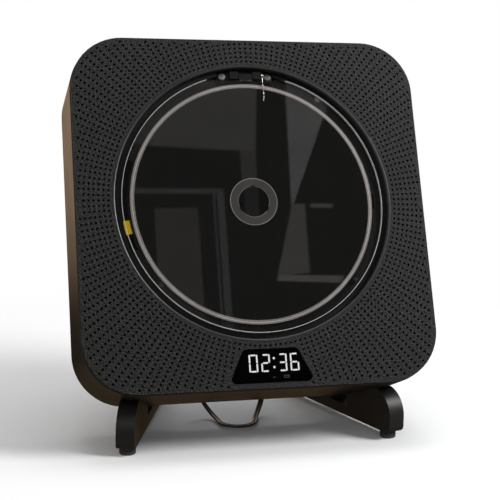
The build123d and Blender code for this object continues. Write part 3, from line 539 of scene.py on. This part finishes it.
def plateOutline():
    side, top, floor = plate["halfWidth"], plate["top"], plate["floor"]
    corners = [Vector((-side, floor)), Vector((side, floor)), Vector((side, top)), Vector((-side, top))]
    return roundedPlanes(corners, plate["corner"], plate["cornerSteps"])


def windowOutline():
    low = plate["windowMiddle"] - plate["windowHalf"]
    high = plate["windowMiddle"] + plate["windowHalf"]
    x, wide, narrow = plate["windowX"], plate["windowBottom"], plate["windowTop"]
    places = ((x - wide, low), (x + wide, low), (x + narrow, high), (x - narrow, high))
    return roundedPlanes([Vector(place) for place in places], plate["windowCorner"], plate["windowSteps"])


def plateDisc():
    # rings and spokes round the well: the net that the holes are cut in
    bm = bmesh.new()
    radii = [plate["wellRadius"], plate["wellRadius"] + plate["plainRing"]]
    while radii[-1] < plate["reach"]:
        radii.append(radii[-1] + plate["ringPitch"])
    first = radians(plate["firstSpoke"])
    chain = [bm.verts.new((radius * cos(first), 0, -radius * sin(first))) for radius in radii]
    links = [bm.edges.new(pair) for pair in zip(chain, chain[1:])]
    bmesh.ops.spin(bm, geom=chain + links, cent=(0, 0, 0), axis=(0, 1, 0), angle=2 * pi,
                   steps=plate["spokes"], use_merge=True)
    bmesh.ops.remove_doubles(bm, verts=bm.verts, dist=plate["join"])
    return bm


def trimPlate(bm, outline, window):
    for point, normal in outline:
        bmesh.ops.bisect_plane(bm, geom=bm.verts[:] + bm.edges[:] + bm.faces[:], dist=plate["join"],
                               plane_co=(point.x, 0, point.y), plane_no=(normal.x, 0, normal.y),
                               clear_outer=True)
    for point, normal in window:
        near = [face for face in bm.faces
                if min(depthBeyond(window, vert.co.x, vert.co.z) for vert in face.verts) < plate["near"]]
        verts = list(dict.fromkeys(vert for face in near for vert in face.verts))
        bmesh.ops.bisect_plane(bm, geom=verts + edgesOf(near) + near, dist=plate["join"],
                               plane_co=(point.x, 0, point.y), plane_no=(normal.x, 0, normal.y))
    inside = [face for face in bm.faces
              if depthBeyond(window, face.calc_center_median().x, face.calc_center_median().z) < 0]
    bmesh.ops.delete(bm, geom=inside, context="FACES")
    loose = [vert for vert in bm.verts if not vert.link_faces]
    bmesh.ops.delete(bm, geom=loose, context="VERTS")


def wholeCells(bm, outline, window):
    # the cells that take a hole: uncut, off the plain ring and clear of both outlines
    cells = []
    spoke = 2 * pi / plate["spokes"]
    for face in bm.faces:
        middle = face.calc_center_median()
        reach = hypot(middle.x, middle.z)
        whole = plate["wholeShare"] * reach * spoke * plate["ringPitch"]
        if face.calc_area() < whole or reach < plate["wellRadius"] + plate["plainRing"]:
            continue
        if depthBeyond(outline, middle.x, middle.z) > -plate["plainMargin"]:
            continue
        if depthBeyond(window, middle.x, middle.z) < plate["windowMargin"]:
            continue
        cells.append(face)
    return cells


def sinkHoles(bm, cells):
    bmesh.ops.inset_individual(bm, faces=cells, thickness=plate["cellInset"], use_even_offset=True)
    bmesh.ops.subdivide_edges(bm, edges=edgesOf(cells), cuts=1, use_grid_fill=False)
    for face in cells:
        middle = face.calc_center_bounds()
        further = hypot(middle.x, middle.z) - plate["wellRadius"]
        radius = plate["holeRadius"] + plate["holeGrowth"] * further
        for vert in face.verts:
            vert.co = middle + (vert.co - middle).normalized() * radius
    pits = bmesh.ops.extrude_discrete_faces(bm, faces=cells)["faces"]
    floors = [vert for face in pits for vert in face.verts]
    bmesh.ops.translate(bm, vec=(0, plate["holeDepth"], 0), verts=floors)


def frontPlate():
    outline, window = plateOutline(), windowOutline()
    bm = plateDisc()
    trimPlate(bm, outline, window)
    cells = wholeCells(bm, outline, window)
    sinkHoles(bm, cells)
    walls = bmesh.ops.extrude_edge_only(bm, edges=borderOf(bm.edges))["geom"]
    bmesh.ops.translate(bm, vec=(0, plate["thickness"], 0), verts=onlyVerts(walls))
    bmesh.ops.triangle_fill(bm, edges=borderOf(bm.edges), use_beauty=True)
    bmesh.ops.recalc_face_normals(bm, faces=bm.faces)
    lip = []
    for edge in bm.edges:
        middle = (edge.verts[0].co + edge.verts[1].co) / 2
        onFront = all(abs(vert.co.y) < plate["join"] for vert in edge.verts)
        if onFront and depthBeyond(outline, middle.x, middle.z) > -plate["lipBand"]:
            lip.append(edge)
    bevelSharp(bm, plate["chamfer"], plate["lipSteps"], 40, lip)
    print("front plate holes:", len(cells), "faces:", len(bm.faces))
    keepPiece(bm, "front_plate", "front_grille", seat, 40)


frontPlate()


rim = {"inner": 67.3, "outer": 68.6, "front": 0.0, "back": 3.4, "innerRound": 0.7, "outerRound": 0.12,
       "steps": 256}


def wellRim():
    inner, outer, front, back = rim["inner"], rim["outer"], rim["front"], rim["back"]
    bm = turnedShape([(inner, front), (outer, front), (outer, back), (inner, back)], rim["steps"])
    middle = (inner + outer) / 2
    for width, steps, inside in ((rim["innerRound"], 5, True), (rim["outerRound"], 2, False)):
        chosen = []
        for edge in bm.edges:
            spot = edge.verts[0].co
            onFront = max(vert.co.y for vert in edge.verts) < 0.01
            if onFront and (hypot(spot.x, spot.z) < middle) == inside:
                chosen.append(edge)
        bevelSharp(bm, width, steps, 60, chosen)
    keepPiece(bm, "well_roll", "well_rim", seat, 50)


wellRim()


disc = {"radius": 60.0, "hole": 7.5, "front": 3.3, "thickness": 1.2, "labelEdge": 57.95,
        "hubEdge": 11.75, "groove": 0.07, "grooveHalf": 0.12, "dishStart": 10.4, "step": 0.05,
        "round": 0.12, "steps": 256}


def discPiece():
    front = disc["front"]
    back = front + disc["thickness"]
    dip = front + disc["groove"]
    edge, hub, dish = disc["labelEdge"], disc["hubEdge"], disc["dishStart"]
    step, half = disc["step"], disc["grooveHalf"]
    profile = [(disc["hole"], front), (dish, front), (dish + step, dip), (hub - step, dip), (hub, front),
               (edge - half, front), (edge, dip), (edge + half, front), (disc["radius"], front),
               (disc["radius"], back), (disc["hole"], back)]
    bm = turnedShape(profile, disc["steps"])
    bevelSharp(bm, disc["round"], 2, 60)
    keepPiece(bm, "disc_pressed", "disc", seat, 40)


discPiece()

# how wide each piece's sharp edges are broken, in metres
brokenEdges = {
    "side_band": 0.0004, "rear_cover": 0.0003, "dust_cover": 0.00025, "foot_left": 0.0007,
    "foot_right": 0.0007, "hinge_bracket": 0.00015, "display_window": 0.0003,
    "display_segments": 0.0003, "wall_plate": 0.0003, "turntable": 0.00015, "button_power": 0.0002,
    "button_mode": 0.0002, "button_previous": 0.0002, "button_play": 0.0002, "button_next": 0.0002,
}
for node, width in brokenEdges.items():
    softCopy(node, width)
print("soft-edged pieces made")


screwHeads = {
    "hinge_screws": {"places": [(-11.6, 63.6), (11.6, 63.6)],
                     "radius": 1.6, "back": 4.2, "front": 3.0, "root": 5.2},
    "rear_screws": {"places": [(-66.0, 62.0), (66.0, 62.0), (-33.0, -83.0), (33.0, -83.0)],
                    "radius": 2.7, "back": 48.6, "front": 50.0, "root": 46.0},
    "wall_plate_screws": {"places": [(-16.0, 50.0), (16.0, 50.0)],
                          "radius": 2.6, "back": 51.6, "front": 52.7, "root": 48.0},
    "foot_screws": {"places": [(-55.4, -60.0), (-39.0, -60.0), (39.0, -60.0), (55.4, -60.0)],
                    "radius": 2.9, "back": 53.05, "front": 55.25, "root": 48.0},
}
screwCross = {"cells": 9, "arm": 0.62, "depth": 0.45, "shank": 0.55, "dome": 0.12}


def roundGrid(verts, centre, radius, outward):
    # draws a square grid out to a circle and domes it
    for vert in verts:
        flat = vert.co - centre
        square = max(abs(flat.x), abs(flat.z))
        if square > 1e-6:
            share = square / radius
            vert.co = centre + flat * (share * square / flat.length + 1 - share)
        vert.co.y -= outward * screwCross["dome"] * ((vert.co - centre).length / radius) ** 2


def screwHead(bm, x, z, size):
    # a domed head with a cross recess, its face towards the front or the back
    radius = size["radius"]
    outward = 1 if size["front"] > size["back"] else -1
    centre = Vector((x, size["front"], z))
    place = Matrix.Translation(centre) @ Matrix.Rotation(-outward * pi / 2, 4, "X")
    cells = screwCross["cells"]
    grid = bmesh.ops.create_grid(bm, x_segments=cells, y_segments=cells, size=radius, matrix=place)
    verts = grid["verts"]
    faces = list(dict.fromkeys(face for vert in verts for face in vert.link_faces))
    roundGrid(verts, centre, radius, outward)
    recess = []
    for face in faces:
        middle = face.calc_center_median() - centre
        near, far = sorted((abs(middle.x), abs(middle.z)))
        if near < radius / cells and far < screwCross["arm"] * radius:
            recess.append(face)
    border = borderOf(edgesOf(faces))
    sunk = onlyVerts(bmesh.ops.extrude_face_region(bm, geom=recess)["geom"])
    bmesh.ops.delete(bm, geom=recess, context="FACES_ONLY")
    bmesh.ops.translate(bm, vec=(0, -outward * screwCross["depth"], 0), verts=sunk)
    shank = screwCross["shank"]
    for level, share in ((size["back"], 1.0), (size["back"], shank), (size["root"], shank)):
        walls = bmesh.ops.extrude_edge_only(bm, edges=border)["geom"]
        for vert in onlyVerts(walls):
            flat = Vector((vert.co.x - x, 0, vert.co.z - z)).normalized()
            vert.co = Vector((x, level, z)) + flat * radius * share
        border = borderOf(item for item in walls if isinstance(item, bmesh.types.BMEdge))
    bmesh.ops.holes_fill(bm, edges=border)


for node, size in screwHeads.items():
    bm = bmesh.new()
    for x, z in size["places"]:
        screwHead(bm, x, z, size)
    bmesh.ops.recalc_face_normals(bm, faces=bm.faces)
    keepPiece(bm, node + "_crossed", node, seat, 30)
print("screws made")


post = {"radius": 1.5, "dish": 1.0, "dip": 0.35, "front": 2.0, "length": 7.0, "reach": 63.4,
        "angle": 55.0, "round": 0.12, "steps": 32}


def switchPost():
    # a little cup-topped post at the lid's edge
    front, radius, dish = post["front"], post["radius"], post["dish"]
    back, dip = front + post["length"], front + post["dip"]
    profile = [(0, dip), (dish, dip), (dish, front), (radius, front), (radius, back), (0, back)]
    bm = turnedShape(profile, post["steps"], False)
    bevelSharp(bm, post["round"], 2, 50)
    turn = radians(post["angle"])
    place = Matrix.Translation((post["reach"] * cos(turn), 0, post["reach"] * sin(turn)))
    keepPiece(bm, "switch_post", "lid_switch_pin", seat @ place, 40)


switchPost()


marks = {"level": 1.7, "thickness": 0.3, "line": 0.3, "round": 0.06,
         "dash": (3.1, -85.3, 1.3), "frame": (9.1, -85.2, 2.2, 1.0)}


def displayMarks():
    # a dash and a little frame under the digits
    bm = bmesh.new()
    line, thickness = marks["line"], marks["thickness"]
    strokes = [(*marks["dash"], line)]
    x, z, width, height = marks["frame"]
    for side in (-1, 1):
        strokes.append((x, z + side * height / 2, width, line))
        strokes.append((x + side * width / 2, z, line, height + line))
    for x, z, width, height in strokes:
        size = Matrix.Diagonal((width, thickness, height, 1))
        middle = Matrix.Translation((x, marks["level"] + thickness / 2, z))
        bar = bmesh.ops.create_cube(bm, size=1, matrix=middle @ size)
        edges = list(dict.fromkeys(edge for vert in bar["verts"] for edge in vert.link_edges))
        bevelSharp(bm, marks["round"], 1, 30, edges)
    keepPiece(bm, "display_marks", "display_segments", seat, 30, False, "dimMark")


displayMarks()


loop = {"strand": 0.0014, "width": 0.0028, "length": 0.0962, "sides": 12, "resolution": 12,
        "mouths": (-22.0, 11.5), "mouthLevel": 51.6, "mouthHeight": -79.0, "exitRun": 5.2}


def loopPoints():
    # the route under the housing, in millimetres from below the disc's axis, to metres in place
    ends = []
    for x in loop["mouths"]:
        for ahead in (0, loop["exitRun"]):
            ends.append(seat @ Vector((x, loop["mouthLevel"] + ahead, loop["mouthHeight"])))
    route = [
        (-21.7, 24.0, 16.2), (-20.7, 24.2, 11.6), (-18.9, 22.8, 7.6), (-16.6, 20.6, 4.4),
        (-14.6, 17.4, 2.3), (-13.3, 13.2, 1.5), (-13.3, 8.4, 1.45), (-10.9, 4.2, 1.45),
        (-6.7, 1.8, 1.45), (-1.9, 1.8, 1.45), (2.3, 4.2, 1.45), (4.7, 8.4, 1.45),
        (5.6, 13.2, 1.6), (7.6, 17.2, 3.0), (9.8, 20.4, 5.6), (11.4, 22.8, 9.2),
        (12.0, 23.8, 13.2), (11.8, 23.6, 17.0),
    ]
    middle = [Vector(point) * milli + Vector((0, heart.y, 0)) for point in route]
    return [ends[0], ends[1], *middle, ends[3], ends[2]]


def loopLine(points):
    curve = bpy.data.curves.new("loop_route", "CURVE")
    curve.dimensions = "3D"
    curve.resolution_u = loop["resolution"]
    spline = curve.splines.new("NURBS")
    spline.points.add(len(points) - 1)
    for knot, point in zip(spline.points, points):
        knot.co = (*point, 1)
    spline.order_u = 3
    spline.use_endpoint_u = True
    route = bpy.data.objects.new("loop_route", curve)
    scene.collection.objects.link(route)
    mesh = bpy.data.meshes.new_from_object(route)
    line = [vertex.co.copy() for vertex in mesh.vertices]
    bpy.data.objects.remove(route)
    return line


def strandPlace(line, index, side):
    # where one strand's ring stands, beside the route and square to it
    point = line[index]
    ahead = (line[min(index + 1, len(line) - 1)] - line[max(index - 1, 0)]).normalized()
    flat = Vector((0, 0, 1)).cross(ahead)
    across = (flat if flat.length > 0.2 else Vector((1, 0, 0))).normalized()
    across = (across - ahead * across.dot(ahead)).normalized()
    turn = Matrix((across, ahead.cross(across), ahead)).transposed().to_4x4()
    return Matrix.Translation(point + across * side * loop["strand"] / 2) @ turn


def ringEdges(ring):
    edges = dict.fromkeys(edge for vert in ring for edge in vert.link_edges)
    return [edge for edge in edges if all(vert in ring for vert in edge.verts)]


def carryLoop():
    line = loopLine(loopPoints())
    bm = bmesh.new()
    for side in (-1, 1):
        rings = []
        for index in range(len(line)):
            ring = bmesh.ops.create_circle(bm, segments=loop["sides"], radius=loop["strand"] / 2,
                                           matrix=strandPlace(line, index, side))
            rings.append(ring["verts"])
        for before, after in zip(rings, rings[1:]):
            bmesh.ops.bridge_loops(bm, edges=ringEdges(before) + ringEdges(after))
        for ring in (rings[0], rings[-1]):
            bmesh.ops.contextual_create(bm, geom=ring)
    bmesh.ops.recalc_face_normals(bm, faces=bm.faces)
    piece = keepPiece(bm, "carry_strands", "carry_loop", None, 60)


carryLoop()
print("carry loop made")


def stagePlane(name, corners, material):
    bm = bmesh.new()
    bmesh.ops.create_grid(bm, x_segments=1, y_segments=1, size=1)
    for vert, corner in zip(sorted(bm.verts, key=lambda v: (v.co.y, v.co.x)), corners):
        vert.co = corner
    mesh = bpy.data.meshes.new(name)
    bm.to_mesh(mesh)
    bm.free()
    mesh.materials.append(material)
    piece = bpy.data.objects.new(name, mesh)
    scene.collection.objects.link(piece)
    return piece


paper = {"size": 3.0, "fadeFrom": 0.14, "fadeTo": 0.34, "cloud": 0.3,
         "tones": ((0.90, 0.90, 0.90), (0.93, 0.93, 0.93))}


def floorMaterial():
    # pale paper that holds the shadow near the stand and runs into the white backdrop further out
    made = Finish("paleFloor", rough=0.9, specular=0.0)
    place = made.place()
    made.set("color", made.blend(made.noise(place, paper["cloud"]), *paper["tones"]))
    reach = made.node("ShaderNodeVectorMath", {"operation": "LENGTH"}, {0: place}, 1)
    path = made.node("ShaderNodeLightPath").socket.node.outputs
    seen = Flow(made, path["Is Camera Ray"]) + Flow(made, path["Is Glossy Ray"])
    seen = seen + Flow(made, path["Is Transmission Ray"])
    white = made.node("ShaderNodeEmission", None, {"Color": (1.0, 1.0, 1.0), "Strength": 1.0})
    far = made.span(reach, paper["fadeFrom"], paper["fadeTo"]) * (seen > 0.5)
    made.show(made.mixed(far, made.own(), white))
    return made.material


def glowOnly(made, color):
    made.tree.nodes.remove(made.shader)
    made.show(made.node("ShaderNodeEmission", None, {"Color": color, "Strength": 1.0}))
    return made.material


# what the glossy disc sees: corners on the disc in millimetres, a plain level and how far off it stands
roomCards = [
    ("roomBack", [(-90, -90), (90, -90), (-90, 90), (90, 90)], (0.085, 0.082, 0.076), 2.1),
    ("wallLeft", [(-75, 29.5), (2.4, 25), (-75, 75), (6.8, 75)], (0.36, 0.34, 0.33), 2.0),
    ("wallColumn", [(-5.2, -8), (1.8, -8), (-5.6, 26), (2.4, 25.5)], (0.28, 0.265, 0.255), 2.02),
    ("wallRight", [(18.2, -4), (18.4, -4), (20.7, 75), (52.4, 75)], (0.62, 0.6, 0.59), 2.0),
    ("chairBack", [(8.5, -37), (24.8, -36), (18.8, -1.6), (25, -1.8)], (0.44, 0.42, 0.40), 1.98),
    ("frameTop", [(-58, 4.4), (-15, 3.7), (-58, 6.9), (-15, 6.3)], (0.30, 0.28, 0.275), 2.0),
    ("frameSide", [(-18.3, -66), (-14.9, -66), (-18.3, 3.8), (-14.9, 3.8)], (0.32, 0.305, 0.305), 1.98),
    ("frameLine", [(-20.4, -66), (-19.4, -66), (-20.4, 3.8), (-19.4, 3.8)], (0.30, 0.285, 0.285), 1.98),
    ("doorway", [(-49, -66), (-28, -66), (-49, -3), (-28, -3)], (0.27, 0.24, 0.22), 2.0),
    ("ledge", [(27.9, -3.4), (39.2, -3.9), (27.9, -1.5), (39.2, -2.0)], (0.55, 0.5, 0.47), 1.98),
    ("floorLight", [(8, -39.5), (40, -41.5), (9, -36.6), (42, -38)], (0.62, 0.58, 0.54), 1.97),
]

# flags round the studio, in metres, seen only by glossy faces
flagSize = {"side": 1.6, "front": -1.7, "back": 1.2, "low": 0.02, "high": 2.2}
flagWall = {"left": -4.0, "right": 0.6, "y": 2.2, "low": 0.0, "high": 2.6}
flagLevels = {"flagFront": (0.02, 0.02, 0.02), "flagRight": (0.02, 0.02, 0.02),
              "flagLeft": (0.10, 0.075, 0.055), "flagBack": (0.78, 0.54, 0.37),
              "flagTop": (0.03, 0.03, 0.03)}


def flagCorners():
    side, front, back = flagSize["side"], flagSize["front"], flagSize["back"]
    low, high = flagSize["low"], flagSize["high"]
    wall = flagWall["y"]
    return {
        "flagFront": [(x, front, z) for z in (low, high) for x in (-side, side)],
        "flagRight": [(side, y, z) for z in (low, high) for y in (front, back)],
        "flagLeft": [(-side, y, z) for z in (low, high) for y in (back, front)],
        "flagBack": [(x, wall, z) for z in (flagWall["low"], flagWall["high"])
                     for x in (flagWall["left"], flagWall["right"])],
        "flagTop": [(x, y, high) for y in (front, back) for x in (-side, side)],
    }


def mirrored(point):
    # a point seen in the disc's face
    front = heart + backwards * discLevel * milli
    return point - 2 * (point - front).dot(backwards) * backwards


floorFlag = {"reach": 2.4, "height": 0.0015, "sideShare": 0.12,
             "backSpan": (0.22, 0.75), "leftSpan": (0.05, -0.1), "darkSpan": (0.03, 0.09),
             "under": (0.10, 0.068, 0.038), "dark": (0.010, 0.008, 0.006), "far": (0.74, 0.50, 0.32)}


def floorFlagMaterial():
    # a glow seen only in glossy faces, a painted reflection of a table: warm under the stand, painted shadow just
    # behind it, warm and bright further back on the left
    made = Finish("floorFlag")
    x, y, z = made.split(made.place())
    back = made.span(y, *floorFlag["backSpan"])
    left = made.span(x, *floorFlag["leftSpan"], floorFlag["sideShare"], 1.0)
    near = made.blend(made.span(y, *floorFlag["darkSpan"]), floorFlag["under"], floorFlag["dark"])
    return glowOnly(made, made.blend(back * left, near, floorFlag["far"]))


def hideFromEye(card):
    card.visible_camera = False
    card.visible_diffuse = False
    card.visible_transmission = False
    card.visible_shadow = False
    card.visible_volume_scatter = False


def addRoom():
    side, height = floorFlag["reach"], floorFlag["height"]
    corners = [Vector((x, y, height)) for y in (-side, side) for x in (-side, side)]
    hideFromEye(stagePlane("flagFloor", corners, floorFlagMaterial()))
    for name, corners in flagCorners().items():
        material = glowOnly(Finish(name), flagLevels[name])
        hideFromEye(stagePlane(name, [Vector(corner) for corner in corners], material))
    eye = mirrored(cameraSpot)
    for name, corners, level, reach in roomCards:
        ends = []
        for x, z in corners:
            spot = seat @ Vector((x, discLevel, z))
            ends.append(eye + (spot - eye) * reach)
        label = "card_" + name
        hideFromEye(stagePlane(label, ends, glowOnly(Finish(label), level)))


lampAim = Vector((0, 0, 0.1))
lamps = {
    "key": {"spot": (0.95, -0.50, 0.85), "size": 0.5, "power": 15, "color": (1, 1, 1)},
    "fill": {"spot": (-0.5, -1.1, 0.7), "size": 0.9, "power": 1.6, "color": (1, 1, 1)},
    "warmSide": {"spot": (-1.0, 0.2, 0.5), "size": 0.6, "power": 1.2, "color": (1.0, 0.80, 0.60)},
    "top": {"spot": (0.1, 0.3, 1.3), "size": 1.0, "power": 6, "color": (1, 1, 1)},
}


def addLamp(name, kind):
    lamp = bpy.data.lights.new(name, "AREA")
    lamp.shape = "DISK"
    lamp.size = kind["size"]
    lamp.energy = kind["power"]
    lamp.color = kind["color"]
    holder = bpy.data.objects.new(name, lamp)
    scene.collection.objects.link(holder)
    spot = Vector(kind["spot"])
    turn = (spot - lampAim).to_track_quat("Z", "Y").to_matrix().to_4x4()
    holder.matrix_world = Matrix.Translation(spot) @ turn


sky = {"tone": (0.95, 0.97, 1.0, 1), "strength": 0.36}


def addWorld():
    world = bpy.data.worlds.new("studio")
    scene.world = world
    world.use_nodes = True
    tree = world.node_tree
    tree.nodes.clear()
    path = tree.nodes.new("ShaderNodeLightPath")
    seen = tree.nodes.new("ShaderNodeMath")
    seen.operation = "MAXIMUM"
    tree.links.new(path.outputs["Is Camera Ray"], seen.inputs[0])
    tree.links.new(path.outputs["Is Glossy Ray"], seen.inputs[1])
    through = tree.nodes.new("ShaderNodeMath")
    through.operation = "MAXIMUM"
    tree.links.new(seen.outputs[0], through.inputs[0])
    tree.links.new(path.outputs["Is Transmission Ray"], through.inputs[1])
    plain = tree.nodes.new("ShaderNodeBackground")
    plain.inputs["Color"].default_value = sky["tone"]
    plain.inputs["Strength"].default_value = sky["strength"]
    white = tree.nodes.new("ShaderNodeBackground")
    white.inputs["Color"].default_value = (1, 1, 1, 1)
    white.inputs["Strength"].default_value = 1.0
    mix = tree.nodes.new("ShaderNodeMixShader")
    out = tree.nodes.new("ShaderNodeOutputWorld")
    tree.links.new(through.outputs[0], mix.inputs[0])
    tree.links.new(plain.outputs[0], mix.inputs[1])
    tree.links.new(white.outputs[0], mix.inputs[2])
    tree.links.new(mix.outputs[0], out.inputs["Surface"])


def addFloor():
    size = paper["size"]
    corners = [Vector((x, y, 0)) for y in (-size, size) for x in (-size, size)]
    stagePlane("floor", corners, floorMaterial())


addFloor()
addRoom()
addWorld()
for name, kind in lamps.items():
    addLamp(name, kind)
print("stage set")
